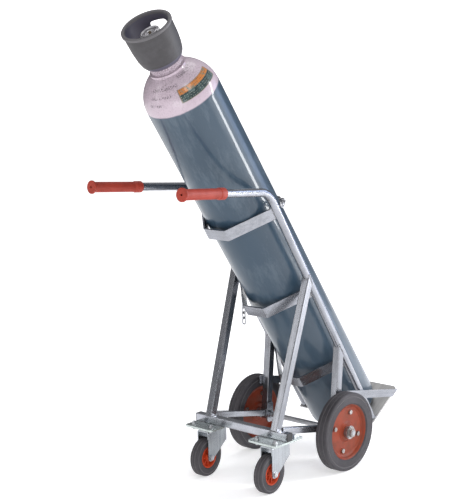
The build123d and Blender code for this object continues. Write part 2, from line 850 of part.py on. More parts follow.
def make_valve():
    """Valve body with its side outlet and spindle."""
    outlet_z = neck_top + 22
    with BuildPart() as valve:
        outline = [
            (0, stem_bottom + 0.5),
            (bore_d / 2 - weld_gap, stem_bottom + 0.5),
            (bore_d / 2 - weld_gap, neck_top + 0.2),
            (18, neck_top + 0.2),
            (18, neck_top + 34),
            (13, neck_top + 38),
            (13, neck_top + 52),
            (9, neck_top + 54),
            (4, neck_top + 54),
            (4, neck_top + 80),
            (0, neck_top + 80),
        ]
        revolve_profile(outline, bottle_section, bottle_axis)
        sideways = Plane(
            origin=bottle_base + up_bottle * outlet_z, x_dir=outlet_plane.x_dir, z_dir=outlet_dir
        )
        with BuildSketch(sideways):
            Circle(11)
        extrude(amount=34)
        with BuildSketch(sideways.offset(34)):
            RegularPolygon(13, 6, major_radius=False)
        extrude(amount=8)
        with BuildSketch(sideways.offset(42)):
            Circle(5)
        extrude(amount=-20, mode=Mode.SUBTRACT)
    save(valve.part, "valve_body")


def make_handwheel():
    """Lobed handwheel with a dished, ringed top."""
    base = neck_top + 62
    lobes = 8
    with BuildPart() as handwheel:
        outline = [
            (4 + running_gap, base),
            (12, base),
            (14, base + 5),
            (27, base + 5),
            (29, base + 7),
            (29, base + 18),
            (27, base + 20),
            (24, base + 20),
            (22, base + 15),
            (19, base + 15),
            (17.5, base + 17),
            (15, base + 17),
            (13, base + 12),
            (4 + running_gap, base + 12),
        ]
        revolve_profile(outline, bottle_section, bottle_axis)
        with BuildSketch(bottle_plane.offset(base)):
            with PolarLocations(31.5, lobes):
                Circle(5)
        extrude(amount=22, mode=Mode.SUBTRACT)
    save(handwheel.part, "valve_handwheel")


make_vessel()
make_neck_ring()
make_guard()
make_valve()
make_handwheel()


# --- chains ---------------------------------------------------------------------------
eye_r = 8.0
eye_wire = 5.0
eye_offset = tube_r + weld_gap + eye_r + eye_wire / 2
link_reach = link_length / 2 - link_wire - eye_wire / 2 - 0.3


def add_link(centre, tangent, normal):
    """One oval link in the open part, in the plane of its tangent and square to normal."""
    half_straight = (link_length - link_width) / 2
    bend = (link_width - link_wire) / 2
    with BuildLine(Plane(origin=centre, x_dir=tangent, z_dir=normal)) as loop:
        Line((-half_straight, bend), (half_straight, bend))
        ThreePointArc((half_straight, bend), (half_straight + bend, 0), (half_straight, -bend))
        Line((half_straight, -bend), (-half_straight, -bend))
        ThreePointArc((-half_straight, -bend), (-half_straight - bend, 0), (-half_straight, bend))
    with BuildSketch(Plane(origin=loop.line @ 0, z_dir=loop.line % 0)) as wire:
        Circle(link_wire / 2)
    sweep(wire.sketch, path=loop.line)


def chain_route():
    """Function that gives a point and its outward direction along the upper chain.

    The chain leaves each eye in a straight line, wraps the front of the cylinder and droops
    in a parabola towards the toe plate."""
    along = cradle_along["upper"] + 6
    eye = on_frame(eye_offset, -rail_y(along), along)
    local = bottle_plane.to_local_coords(eye)
    reach = hypot(local.X, local.Y)
    ride_r = bottle_r + link_width / 2 + 0.6
    tangent_turn = acos(ride_r / reach)
    start_turn = atan2(local.Y, local.X) + tangent_turn
    straight = sqrt(reach ** 2 - ride_r ** 2)
    wrap = -start_turn * ride_r
    half_length = straight + wrap

    def place(travel):
        """Point at a distance from the middle of the front, positive to the left."""
        side = 1 if travel >= 0 else -1
        distance = abs(travel)
        turn = min(distance, wrap) / ride_r
        spare = max(distance - wrap, 0)
        outward = Vector(cos(turn), side * sin(turn), 0)
        onward = Vector(-sin(turn), side * cos(turn), 0)
        drop = chain_droop * (1 - (distance / half_length) ** 2)
        spot = outward * ride_r + onward * spare + Vector(0, 0, local.Z - drop)
        world = on_bottle(spot.X, spot.Y, spot.Z)
        return world, off_bottle * outward.X + Vector(0, outward.Y, 0)

    return place, half_length


def evenly_spaced(place, half_length, trim):
    """Odd number of travels, equally far apart in space, with trim left free at each end."""
    samples = [half_length * (2 * n / 2000 - 1) for n in range(2001)]
    spots = [place(travel)[0] for travel in samples]
    distance = [0.0]
    for before, after in zip(spots, spots[1:]):
        distance.append(distance[-1] + (after - before).length)
    usable = distance[-1] - 2 * trim
    gaps = 2 * round(usable / link_pitch / 2 + 0.2)
    travels = []
    for index in range(gaps + 1):
        wanted = trim + usable * index / gaps
        nearest = min(range(len(distance)), key=lambda n: abs(distance[n] - wanted))
        travels.append(samples[nearest])
    return travels


def make_upper_chain():
    """Chain round the front of the cylinder, links lying flat and on edge by turns."""
    place, half_length = chain_route()
    travels = evenly_spaced(place, half_length, eye_r + link_reach)
    step = 0.5
    with BuildPart() as chain:
        for index, travel in enumerate(travels):
            centre, outward = place(travel)
            tangent = (place(travel + step)[0] - place(travel - step)[0]).normalized()
            flat = index % 2 == 0
            normal = outward if flat else tangent.cross(outward).normalized()
            add_link(centre, tangent, normal)
    save(chain.part, "chain_upper")


def loose_eye_centre():
    along = 519.0
    return on_frame(-eye_offset, rail_y(along), along)


def make_loose_chain():
    """Free end of a second chain, hanging straight down behind the left rail."""
    links = 5
    first = loose_eye_centre() - Vector(0, 0, eye_r + link_reach)
    with BuildPart() as chain:
        for index in range(links):
            centre = first - Vector(0, 0, index * link_pitch)
            normal = Vector(1, 0, 0) if index % 2 == 0 else Vector(0, 1, 0)
            add_link(centre, Vector(0, 0, -1), normal)
    save(chain.part, "chain_loose")


def make_eyes():
    """Round eyes welded to the rails for the chains, as three solids."""
    place, half_length = chain_route()
    places = [(loose_eye_centre(), Vector(0, 1, 0))]
    for side in sides.values():
        centre, outward = place(side * half_length)
        first_link = place(side * (half_length - eye_r - link_reach))[0]
        places.append((centre, (first_link - centre).cross(outward).normalized()))
    with BuildPart() as eyes:
        for centre, normal in places:
            ring = Plane(origin=centre, z_dir=normal)
            with BuildSketch(Plane(origin=centre + ring.x_dir * eye_r, z_dir=ring.y_dir)):
                Circle(eye_wire / 2)
            revolve(axis=Axis(centre, normal))
    save(eyes.part, "chain_eyes")


make_upper_chain()
make_loose_chain()
make_eyes()
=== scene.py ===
"""Gas cylinder trolley in a white studio: camera, lights, materials and fine detail.

Metres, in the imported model's frame: +X towards the toe plate, +Y to the left, +Z up."""
import json
import math

import bmesh
import bpy
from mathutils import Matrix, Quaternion, Vector, noise


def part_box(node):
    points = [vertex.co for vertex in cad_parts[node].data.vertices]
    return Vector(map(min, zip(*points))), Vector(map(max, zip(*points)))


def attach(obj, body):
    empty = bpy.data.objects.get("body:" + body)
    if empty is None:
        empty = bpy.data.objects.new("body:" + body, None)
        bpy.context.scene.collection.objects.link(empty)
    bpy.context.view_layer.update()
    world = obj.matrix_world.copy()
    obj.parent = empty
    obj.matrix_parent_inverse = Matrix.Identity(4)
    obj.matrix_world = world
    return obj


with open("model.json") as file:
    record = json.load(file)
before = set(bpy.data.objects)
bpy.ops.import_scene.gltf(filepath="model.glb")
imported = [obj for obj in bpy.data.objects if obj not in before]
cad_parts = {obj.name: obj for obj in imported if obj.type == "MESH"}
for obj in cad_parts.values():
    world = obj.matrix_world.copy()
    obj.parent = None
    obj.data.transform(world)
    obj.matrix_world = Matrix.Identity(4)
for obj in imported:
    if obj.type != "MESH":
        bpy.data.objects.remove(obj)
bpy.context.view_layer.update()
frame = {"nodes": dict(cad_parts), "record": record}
nodes = frame["nodes"]
joints = {joint["name"]: joint for joint in frame["record"]["behaviour"]["joints"]}

# --- the trolley's own directions -----------------------------------------------------
rail_lean = math.radians(32.8)
axle_along, axle_behind = 0.116, 0.166
rail_y_foot, rail_y_bend, rail_length = 0.1391, 0.1489, 0.946
tube_r = 0.0125
half_square = 0.0125
cradle_along = {"upper": 0.873, "middle": 0.563, "lower": 0.261}
cradle_width = 0.038
leg_along, leg_y = 0.612, 0.133
post_along, post_y = 0.323, 0.1412
plate_top = -0.006
half_side_bar = 0.01
side_bar_rear_z, side_bar_front_z = 0.1842, 0.1307

up_rail = Vector((-math.sin(rail_lean), 0, math.cos(rail_lean)))
off_rail = Vector((math.cos(rail_lean), 0, math.sin(rail_lean)))
left = Vector((0, 1, 0))
up = Vector((0, 0, 1))
sloping = Vector((1, 0, -0.2)).normalized()
axle = Vector(joints["wheel_left_spin"]["pos_m"])
axle.y = 0
foot = axle - up_rail * axle_along + off_rail * axle_behind

handwheel_along, shoulder_along = 1.5, 1.2925
shoulder_and_neck, guard_height, rim_tilt = 0.1205, 0.121, 0.09
up_bottle = Vector(joints["cylinder_lift"]["axis"]).normalized()
off_bottle = Vector((up_bottle.z, 0, -up_bottle.x))
bottle_base = Vector(joints["handwheel_turn"]["pos_m"]) - up_bottle * handwheel_along
guard_base = shoulder_along + shoulder_and_neck
rim_centre = bottle_base + up_bottle * (guard_base + guard_height)
rim_dir = (up_bottle - Vector((0, rim_tilt, 0))).normalized()

crossbar_low, crossbar_high = (Vector(corner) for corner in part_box("crossbar"))
crossbar = (crossbar_low + crossbar_high) / 2
sides = {"right": -1, "left": 1}


def on_frame(forward, sideways, along):
    """Point from distances in the rails' own directions."""
    return foot + off_rail * forward + up_rail * along + left * sideways


def rail_y(along):
    """How far a rail's centre is from the middle plane, at a height up the rail."""
    return rail_y_foot + (rail_y_bend - rail_y_foot) * along / rail_length


def leg_line(side):
    """A rear leg's ends: on the crossbar and at the rail."""
    low = Vector((crossbar.x, side * leg_y, crossbar_high.z))
    return low, on_frame(0, side * rail_y(leg_along), leg_along)


def post_line(side):
    """A post's ends: at the axle and at the rail."""
    low = Vector((axle.x, side * post_y, axle.z))
    return low, on_frame(0, side * post_y, post_along)


def line_run(low, high):
    """Unit direction from one point to another."""
    return (high - low).normalized()


# --- camera ---------------------------------------------------------------------------
camera_at = Vector((-2.9369, -2.5357, 1.3481))
camera_aim = Vector((-0.2899, -0.1658, 0.7675))
camera_roll = math.radians(-1.31)
camera_data = bpy.data.cameras.new("camera")
camera_data.sensor_width = 36
camera_data.lens = 92.26
camera = bpy.data.objects.new("camera", camera_data)
camera.location = camera_at
camera.rotation_mode = "QUATERNION"
level = (camera_aim - camera_at).to_track_quat("-Z", "Y")
camera.rotation_quaternion = level @ Quaternion((0, 0, 1), camera_roll)
bpy.context.scene.collection.objects.link(camera)
bpy.context.scene.camera = camera


# --- shader helpers -------------------------------------------------------------------
class Shader:
    """A material's node tree, with short calls for the nodes that this scene uses."""

    def __init__(self, name, colour, metallic=0.0, roughness=0.5):
        self.material = bpy.data.materials.new(name)
        self.material.use_nodes = True
        self.tree = self.material.node_tree
        self.bsdf = self.tree.nodes["Principled BSDF"]
        self.set("Base Color", (*colour, 1))
        self.set("Metallic", metallic)
        self.set("Roughness", roughness)
        self.place = self.node("ShaderNodeTexCoord").outputs["Object"]

    def node(self, kind, **settings):
        made = self.tree.nodes.new(kind)
        for key, value in settings.items():
            setattr(made, key, value)
        return made

    def set(self, socket, value):
        self.bsdf.inputs[socket].default_value = value

    def link(self, output, target):
        self.tree.links.new(output, target)

    def to(self, output, socket):
        self.link(output, self.bsdf.inputs[socket])

    def drawn(self, run, keep=0.04):
        """Object coordinates squeezed along a direction, for streaks that run that way."""
        along = self.node("ShaderNodeVectorMath", operation="DOT_PRODUCT")
        along.inputs[1].default_value = run
        self.link(self.place, along.inputs[0])
        excess = self.node("ShaderNodeVectorMath", operation="SCALE")
        excess.inputs[0].default_value = run * (1 - keep)
        self.link(along.outputs["Value"], excess.inputs["Scale"])
        rest = self.node("ShaderNodeVectorMath", operation="SUBTRACT")
        self.link(self.place, rest.inputs[0])
        self.link(excess.outputs["Vector"], rest.inputs[1])
        return rest.outputs["Vector"]

    def noise(self, scale, detail=4.0, rough=0.55, vector=None):
        texture = self.node("ShaderNodeTexNoise")
        texture.inputs["Scale"].default_value = scale
        texture.inputs["Detail"].default_value = detail
        texture.inputs["Roughness"].default_value = rough
        self.link(vector or self.place, texture.inputs["Vector"])
        return texture.outputs["Fac"]

    def cells(self, scale):
        texture = self.node("ShaderNodeTexVoronoi")
        texture.inputs["Scale"].default_value = scale
        self.link(self.place, texture.inputs["Vector"])
        return texture.outputs["Distance"]

    def band(self, value, low, high, out_low=0.0, out_high=1.0):
        """A value remapped linearly and clamped."""
        remap = self.node("ShaderNodeMapRange")
        remap.inputs["From Min"].default_value = low
        remap.inputs["From Max"].default_value = high
        remap.inputs["To Min"].default_value = out_low
        remap.inputs["To Max"].default_value = out_high
        self.link(value, remap.inputs["Value"])
        return remap.outputs["Result"]

    def math(self, operation, first, second=None):
        step = self.node("ShaderNodeMath", operation=operation)
        for index, value in enumerate((first, second)):
            if value is None:
                continue
            if isinstance(value, (int, float)):
                step.inputs[index].default_value = value
            else:
                self.link(value, step.inputs[index])
        return step.outputs["Value"]

    def times(self, first, second):
        return self.math("MULTIPLY", first, second)

    def length(self, first, second):
        """Square root of the sum of two squares."""
        squares = [self.times(value, value) for value in (first, second)]
        return self.math("SQRT", self.math("ADD", *squares))

    def mix(self, factor, first, second):
        """Colour mixed by a factor; each colour is a triple or another node's output."""
        blend = self.node("ShaderNodeMix", data_type="RGBA")
        self.link(factor, blend.inputs["Factor"])
        for socket, value in ((blend.inputs[6], first), (blend.inputs[7], second)):
            if isinstance(value, tuple):
                socket.default_value = (*value, 1)
            else:
                self.link(value, socket)
        return blend.outputs[2]

    def bump(self, height, strength, distance):
        """Adds a bump on top of any that are there already."""
        made = self.node("ShaderNodeBump")
        made.inputs["Strength"].default_value = strength
        made.inputs["Distance"].default_value = distance
        self.link(height, made.inputs["Height"])
        normal = self.bsdf.inputs["Normal"]
        if normal.is_linked:
            self.link(normal.links[0].from_socket, made.inputs["Normal"])
        self.to(made.outputs["Normal"], "Normal")

    def along_axis(self, point, direction):
        """Distance along a line through a point, in metres."""
        shift = self.node("ShaderNodeVectorMath", operation="SUBTRACT")
        shift.inputs[1].default_value = point
        self.link(self.place, shift.inputs[0])
        dot = self.node("ShaderNodeVectorMath", operation="DOT_PRODUCT")
        dot.inputs[1].default_value = direction
        self.link(shift.outputs["Vector"], dot.inputs[0])
        return dot.outputs["Value"]

    def window(self, value, low, high, soft):
        """One between two values, falling to nothing outside them."""
        rising = self.band(value, low - soft, low + soft)
        falling = self.band(value, high + soft, high - soft)
        return self.times(rising, falling)

    def bottle_place(self):
        """Height up the cylinder, angle from its back and radius about its axis."""
        height = self.along_axis(bottle_base, up_bottle)
        backward = self.along_axis(bottle_base, -off_bottle)
        rightward = self.along_axis(bottle_base, -left)
        turn = self.math("ARCTAN2", rightward, backward)
        return height, turn, self.length(backward, rightward)


# --- materials ------------------------------------------------------------------------
tread_groove_half, wall_groove_half, groove_soft = 0.0014, 0.0015, 0.0005
tread_groove_at = 0.35


def zinc(name, light, dark, rough_low, rough_high, run, metallic=0.9):
    """Zinc-plated steel: soft blotches and fine streaks along the bar."""
    shader = Shader(name, light, metallic=metallic)
    blotches = shader.noise(13, detail=6, rough=0.6)
    streaks = shader.noise(110, detail=4, rough=0.6, vector=shader.drawn(run))
    tone = shader.math("ADD", shader.times(blotches, 0.45), shader.times(streaks, 0.55))
    shader.to(shader.mix(shader.band(tone, 0.4, 0.6), dark, light), "Base Color")
    shader.to(shader.band(tone, 0.36, 0.62, rough_high, rough_low), "Roughness")
    shader.bump(streaks, 0.05, 0.00005)
    return shader.material


def red_paint(name, colour):
    """Faded red paint with orange peel and brown grime in cloudy patches."""
    shader = Shader(name, colour, roughness=0.45)
    shader.set("Specular IOR Level", 0.25)
    grime = shader.noise(24, detail=7, rough=0.7)
    grimy = (0.62 * colour[0] + 0.02, 0.7 * colour[1] + 0.02, 0.8 * colour[2] + 0.015)
    bright = tuple(min(1.25 * c, 1) for c in colour)
    cloud = shader.noise(11, detail=3)
    painted = shader.mix(shader.band(cloud, 0.45, 0.65), colour, bright)
    shader.to(shader.mix(shader.band(grime, 0.42, 0.7), painted, grimy), "Base Color")
    shader.to(shader.band(grime, 0.3, 0.7, 0.34, 0.6), "Roughness")
    shader.bump(shader.noise(420, detail=2), 0.15, 0.0002)
    return shader.material


def rubber(name, spin, half_width, wall_radius):
    """Solid tyre rubber with a grey bloom, and pale dust in its tread and sidewall grooves."""
    shader = Shader(name, (0.045, 0.043, 0.048), roughness=0.7)
    shader.set("Specular IOR Level", 0.35)
    bloom = shader.noise(9, detail=8, rough=0.7)
    worn = shader.mix(shader.band(bloom, 0.38, 0.68), (0.036, 0.033, 0.038), (0.072, 0.067, 0.074))
    centre, axis = Vector(spin["pos_m"]), Vector(spin["axis"]).normalized()
    off_middle = shader.math("ABSOLUTE", shader.along_axis(centre, axis))
    groove = tread_groove_at * half_width
    tread = shader.window(off_middle, groove - tread_groove_half, groove + tread_groove_half, groove_soft)
    radius = shader.length(*(shader.along_axis(centre, run) for run in (up, axis.cross(up))))
    wall = shader.window(radius, wall_radius - wall_groove_half, wall_radius + wall_groove_half, groove_soft)
    grooves = shader.math("MAXIMUM", tread, wall)
    shader.to(shader.mix(grooves, worn, (0.115, 0.11, 0.116)), "Base Color")
    shader.to(shader.band(bloom, 0.3, 0.7, 0.55, 0.75), "Roughness")
    shader.bump(shader.noise(600, detail=3), 0.25, 0.0003)
    return shader.material


def grip_plastic(name, colour):
    """Soft moulded vinyl with a fine leather-like grain."""
    shader = Shader(name, colour, roughness=0.5)
    shader.set("Specular IOR Level", 0.3)
    wear = shader.noise(28, detail=5)
    worn = tuple(c * 0.75 for c in colour)
    shader.to(shader.mix(shader.band(wear, 0.4, 0.7), colour, worn), "Base Color")
    shader.to(shader.band(wear, 0.3, 0.7, 0.42, 0.6), "Roughness")
    shader.bump(shader.cells(900), 0.35, 0.0003)
    return shader.material


def plain_plastic(name, colour, roughness):
    shader = Shader(name, colour, roughness=roughness)
    tone = shader.noise(90, detail=4)
    shader.to(shader.mix(shader.band(tone, 0.35, 0.7), colour, tuple(c * 1.5 for c in colour)), "Base Color")
    shader.bump(shader.noise(700, detail=2), 0.2, 0.0002)
    return shader.material


body_blue = (0.024, 0.05, 0.08)
# Paler blue for real scuffs, also used as painted light on the lower body.
body_scuffed_and_lit = (0.062, 0.092, 0.125)
shoulder_mauve = (0.47, 0.385, 0.445)
shoulder_dirt = (0.24, 0.2, 0.22)
label_turn = (math.radians(45), math.radians(124))
label_along = (1.3235, 1.3585)
label_split, label_split_soft = 1.3445, 0.0006
label_border_turn, label_border_low, label_border_high = 0.03, 0.0018, 0.0012
label_row_pitch = 0.0055
stamp_height = 0.0062
stamped_rows = {
    1.3295: (math.radians(-12), math.radians(16)),
    1.3475: (math.radians(-8), math.radians(34)),
    1.3655: (math.radians(-6), math.radians(52)),
    1.3785: (math.radians(58), math.radians(100)),
}


def dashes(shader, turn, pitch, seed):
    """Irregular marks at a steady pitch round the cylinder, in place of any lettering."""
    steady = shader.math("FRACT", shader.times(turn, 1 / pitch))
    marks = shader.window(steady, 0.25, 0.75, 0.08)
    shift = shader.node("ShaderNodeVectorMath", operation="ADD")
    shift.inputs[1].default_value = (seed, seed, seed)
    shader.link(shader.place, shift.inputs[0])
    broken = shader.noise(260, detail=1, vector=shift.outputs["Vector"])
    return shader.times(marks, shader.band(broken, 0.46, 0.52))


def label_colour(shader, height, turn):
    """Two-tone label: orange over dark green, with generic rows of dark and pale marks."""
    patch = shader.noise(70, detail=3)
    orange = shader.mix(shader.band(patch, 0.5, 0.58), (0.48, 0.17, 0.04), (0.2, 0.17, 0.11))
    green = shader.mix(shader.band(patch, 0.48, 0.6), (0.018, 0.035, 0.035), (0.06, 0.1, 0.1))
    rows = shader.math("FRACT", shader.times(height, 1 / label_row_pitch))
    lines = shader.window(rows, 0.3, 0.62, 0.08)
    pale_marks = shader.times(lines, dashes(shader, turn, 0.045, 3.0))
    dark_marks = shader.times(lines, dashes(shader, turn, 0.06, 5.0))
    lower = shader.mix(pale_marks, green, (0.3, 0.33, 0.3))
    upper = shader.mix(dark_marks, orange, (0.07, 0.045, 0.03))
    above = shader.band(height, label_split - label_split_soft, label_split + label_split_soft)
    printed = shader.mix(above, lower, upper)
    inner = shader.times(
        shader.window(turn, label_turn[0] + label_border_turn, label_turn[1] - label_border_turn, 0.008),
        shader.window(height, label_along[0] + label_border_low, label_along[1] - label_border_high, 0.0005),
    )
    return shader.mix(inner, (0.17, 0.15, 0.11), printed)


def cylinder_paint():
    """Blue-grey body and mauve shoulder, with scuffs, a label and rows of stamped marks; the lower body is
    painted lighter to lift its shade.
    """
    shader = Shader("cylinder_paint", body_blue, roughness=0.35)
    shader.set("Specular IOR Level", 0.35)
    shader.set("Coat Weight", 0.45)
    shader.set("Coat Roughness", 0.02)
    height, turn, _ = shader.bottle_place()
    ragged = shader.times(shader.noise(30, detail=3), 0.004)
    edge = shader.math("ADD", height, ragged)
    above = shader.band(edge, shoulder_along + 0.0055, shoulder_along + 0.0095)
    scuff = shader.noise(30, detail=8, rough=0.75, vector=shader.drawn(up_bottle, 0.3))
    cloud = shader.noise(3.5, detail=3)
    scuffed = shader.band(shader.times(scuff, cloud), 0.26, 0.4)
    painted = shader.mix(scuffed, body_blue, body_scuffed_and_lit)
    # Lighter towards the bottom: painted light that lifts the shade on the lower body.
    blue = shader.mix(shader.band(height, 0.2, 0.75, 0.6, 0.0), painted, body_scuffed_and_lit)
    speckle = shader.noise(240, detail=4, rough=0.7)
    dirt = shader.times(shader.band(speckle, 0.47, 0.62), shader.band(scuff, 0.38, 0.6, 0.25, 1.0))
    high = shader.band(height, shoulder_along + 0.03, shoulder_along + 0.09, 0.4, 1.0)
    mauve = shader.mix(shader.times(dirt, high), shoulder_mauve, shoulder_dirt)
    inside = shader.times(
        shader.window(turn, *label_turn, 0.012),
        shader.window(height, *label_along, 0.0006),
    )
    marks = None
    for row, (start, end) in stamped_rows.items():
        row_place = shader.times(
            shader.window(turn, start, end, 0.01),
            shader.window(height, row, row + stamp_height, 0.0008),
        )
        line = shader.times(row_place, dashes(shader, turn, 0.052, row))
        marks = line if marks is None else shader.math("MAXIMUM", marks, line)
    stamped = shader.mix(marks, mauve, (0.05, 0.04, 0.045))
    labelled = shader.mix(inside, stamped, label_colour(shader, height, turn))
    shader.to(shader.mix(above, blue, labelled), "Base Color")
    shader.to(shader.band(scuff, 0.3, 0.7, 0.28, 0.5), "Roughness")
    shader.bump(shader.math("SUBTRACT", inside, marks), 0.5, 0.0003)
    shader.bump(speckle, 0.1, 0.0003)
    shader.bump(shader.noise(5, detail=2), 0.2, 0.0015)
    return shader.material


def neck_paint():
    """Mauve paint over a rough knurled band, with grime held in its hollows."""
    shader = Shader("neck_paint", (0.42, 0.34, 0.4), roughness=0.5)
    grit = shader.noise(330, detail=4, rough=0.7)
    shader.to(shader.mix(shader.band(grit, 0.42, 0.6), (0.2, 0.16, 0.185), (0.46, 0.375, 0.44)), "Base Color")
    shader.to(shader.band(grit, 0.3, 0.7, 0.6, 0.4), "Roughness")
    shader.bump(grit, 0.5, 0.0006)
    return shader.material


guard_wall_low, guard_wall_high = 0.02, 0.063
guard_inner_low, guard_inner_high = 0.0605, 0.0675


def guard_paint():
    """Grey textured paint, with a lighter violet painted inside as painted light on the inner wall, and paler
    round the rolled lip.
    """
    shader = Shader("guard_paint", (0.07, 0.067, 0.073), roughness=0.6)
    height, _, radius = shader.bottle_place()
    wear = shader.noise(40, detail=6, rough=0.7)
    outside = shader.mix(shader.band(wear, 0.42, 0.7), (0.034, 0.032, 0.035), (0.056, 0.053, 0.058))
    wall_foot, wall_top = guard_base + guard_wall_low, guard_base + guard_wall_high
    wall = shader.band(height, wall_foot, wall_top, guard_inner_low, guard_inner_high)
    within = shader.band(shader.math("SUBTRACT", radius, wall), 0.0, 0.0005, 1.0, 0.0)
    # Painted light: the inner wall gets a lighter violet copy of the grey.
    painted_light_inside = shader.mix(within, outside, (0.075, 0.07, 0.1))
    # Paler band round the rolled lip.
    rim = shader.window(shader.along_axis(rim_centre, rim_dir), -0.009, 0.001, 0.0006)
    shader.to(shader.mix(rim, painted_light_inside, (0.1, 0.096, 0.103)), "Base Color")
    shader.to(shader.band(wear, 0.3, 0.7, 0.5, 0.68), "Roughness")
    shader.bump(shader.noise(330, detail=3), 0.35, 0.0004)
    return shader.material


handwheel_ring_pitch = 0.0052


def handwheel_finish():
    """Cast handwheel with turned rings, bumped, with pale painted highlights on them and dark painted shade
    between them.
    """
    shader = Shader("handwheel_grey", (0.34, 0.33, 0.36), metallic=0.35, roughness=0.3)
    _, _, radius = shader.bottle_place()
    step = shader.math("FRACT", shader.times(radius, 1 / handwheel_ring_pitch))
    rings = shader.window(step, 0.35, 0.8, 0.12)
    stain = shader.noise(160, detail=4)
    # The pale rings are painted highlights, varied by real stains; the dark between them is painted shade.
    stained_highlight = shader.mix(shader.band(stain, 0.4, 0.62), (0.85, 0.84, 0.87), (0.5, 0.49, 0.52))
    shader.to(shader.mix(rings, (0.1, 0.095, 0.1), stained_highlight), "Base Color")
    shader.to(shader.band(stain, 0.3, 0.7, 0.26, 0.45), "Roughness")
    shader.bump(rings, 0.6, 0.0008)
    return shader.material


def brass():
    shader = Shader("valve_brass", (0.45, 0.35, 0.2), metallic=1.0, roughness=0.35)
    stain = shader.noise(80, detail=5)
    shader.to(shader.mix(shader.band(stain, 0.4, 0.65), (0.26, 0.22, 0.16), (0.12, 0.1, 0.075)), "Base Color")
    shader.to(shader.band(stain, 0.3, 0.7, 0.28, 0.5), "Roughness")
    return shader.material


def weld_metal():
    shader = Shader("weld_metal", (0.36, 0.37, 0.4), metallic=1.0, roughness=0.45)
    stain = shader.noise(120, detail=5)
    shader.to(shader.mix(shader.band(stain, 0.35, 0.7), (0.4, 0.41, 0.44), (0.2, 0.195, 0.2)), "Base Color")
    shader.bump(shader.noise(500, detail=3), 0.3, 0.0003)
    return shader.material


frame_light, frame_dark = (0.37, 0.38, 0.415), (0.28, 0.288, 0.312)
# Each member gets its own copy of the one frame zinc, scaled lighter or darker: the scale is painted light
# and shade, for how bright that member looks in the light.
steel_members = {
    "rail": (up_rail, 0.97),
    "leg": (line_run(*leg_line(1)), 0.82),
    "post": (line_run(*post_line(1)), 0.78),
    "side_bar": (sloping, 1.1),
    "stay": (sloping, 0.85),
    "crossbar": (left, 1.3),
    "cradle": (left, 0.98),
}
own_finishes_and_painted_light = {}
for prefix, (run, shade) in steel_members.items():
    light, dark = (tuple(c * shade for c in colour) for colour in (frame_light, frame_dark))
    own_finishes_and_painted_light[prefix] = zinc(f"{prefix}_zinc", light, dark, 0.18, 0.27, run)
# The toe plate gets a lighter, less metallic copy of the frame zinc: painted light, so that its face reads as
# lit.
toe_light, toe_dark = (0.5, 0.49, 0.48), (0.4, 0.39, 0.385)
own_finishes_and_painted_light["toe"] = zinc("toe_zinc", toe_light, toe_dark, 0.4, 0.55, off_rail, metallic=0.45)
dull_zinc = zinc("dull_zinc", (0.42, 0.4, 0.39), (0.25, 0.235, 0.225), 0.26, 0.4, left)
own_finishes_and_painted_light["wheel_bolts"] = dull_zinc
own_finishes_and_painted_light["axle_nut"] = dull_zinc
plate_zinc = zinc("plate_zinc", (0.6, 0.66, 0.64), (0.42, 0.46, 0.45), 0.18, 0.3, left, metallic=0.85)
own_finishes_and_painted_light["mount_plate"] = plate_zinc
own_finishes_and_painted_light["castor_plate"] = plate_zinc
tyre_sizes = {"wheel": (0.021, 0.1125), "castor": (0.015, 0.0516)}
for side in sides:
    for kind, (half_width, wall_radius) in tyre_sizes.items():
        spin = joints[f"{kind}_{side}_spin"]
        own_finishes_and_painted_light[f"{kind}_tyre_{side}"] = rubber(f"{kind}_rubber_{side}", spin, half_width, wall_radius)
materials = {
    "frame_zinc": zinc("frame_zinc", frame_light, frame_dark, 0.18, 0.27, up_rail),
    "castor_zinc": zinc("castor_zinc", (0.43, 0.455, 0.48), (0.32, 0.34, 0.36), 0.18, 0.28, up),
    "fastener_zinc": zinc("fastener_zinc", (0.62, 0.63, 0.65), (0.36, 0.36, 0.38), 0.2, 0.36, left),
    "hub_steel": zinc("hub_steel", (0.5, 0.5, 0.52), (0.26, 0.255, 0.26), 0.24, 0.42, left),
    "chain_zinc": zinc("chain_zinc", (0.6, 0.61, 0.64), (0.3, 0.3, 0.32), 0.2, 0.4, up_rail),
    "wheel_red": red_paint("wheel_red", (0.245, 0.036, 0.012)),
    "castor_red": red_paint("castor_red", (0.5, 0.05, 0.012)),
    "grip_red": grip_plastic("grip_red", (0.33, 0.038, 0.022)),
    "cap_black": plain_plastic("cap_black", (0.018, 0.018, 0.02), 0.5),
    "cylinder_paint": cylinder_paint(),
    "neck_ring_steel": neck_paint(),
    "guard_paint": guard_paint(),
    "valve_brass": brass(),
    "handwheel_grey": handwheel_finish(),
}


def dress(piece, material):
    """Gives a piece one material all over."""
    piece.data.materials.clear()
    piece.data.materials.append(material)


def add_object(mesh, name):
    """Turns an open mesh into an object in the scene."""
    data = bpy.data.meshes.new(name)
    mesh.to_mesh(data)
    mesh.free()
    made = bpy.data.objects.new(name, data)
    bpy.context.scene.collection.objects.link(made)
    return made


for subpart in frame["record"]["subparts"]:
    name = subpart["node"]
    if subpart["material_slot"] in materials:
        dress(nodes[name], materials[subpart["material_slot"]])
    # Members with scaled copies of the frame zinc carry painted light and shade; the others have their own
    # materials.
    for prefix, finish in own_finishes_and_painted_light.items():
        if name.startswith(prefix) and "cap" not in name:
            dress(nodes[name], finish)


# --- weld beads -----------------------------------------------------------------------
bead_sides, bead_step = 8, 0.0016
ripple_pace, ripple_depth = 1.9, 0.13
wander_scale, wander_depth = 240, 0.18
end_taper = 0.4
heavy_bead, middle_bead, fine_bead = 0.002, 0.0018, 0.0016
cradle_bead_half, cradle_bead_run = 0.016, 0.006
plate_bead_spans = ((0.078, 0.104), (0.15, 0.176))
foot_bead_points = 24


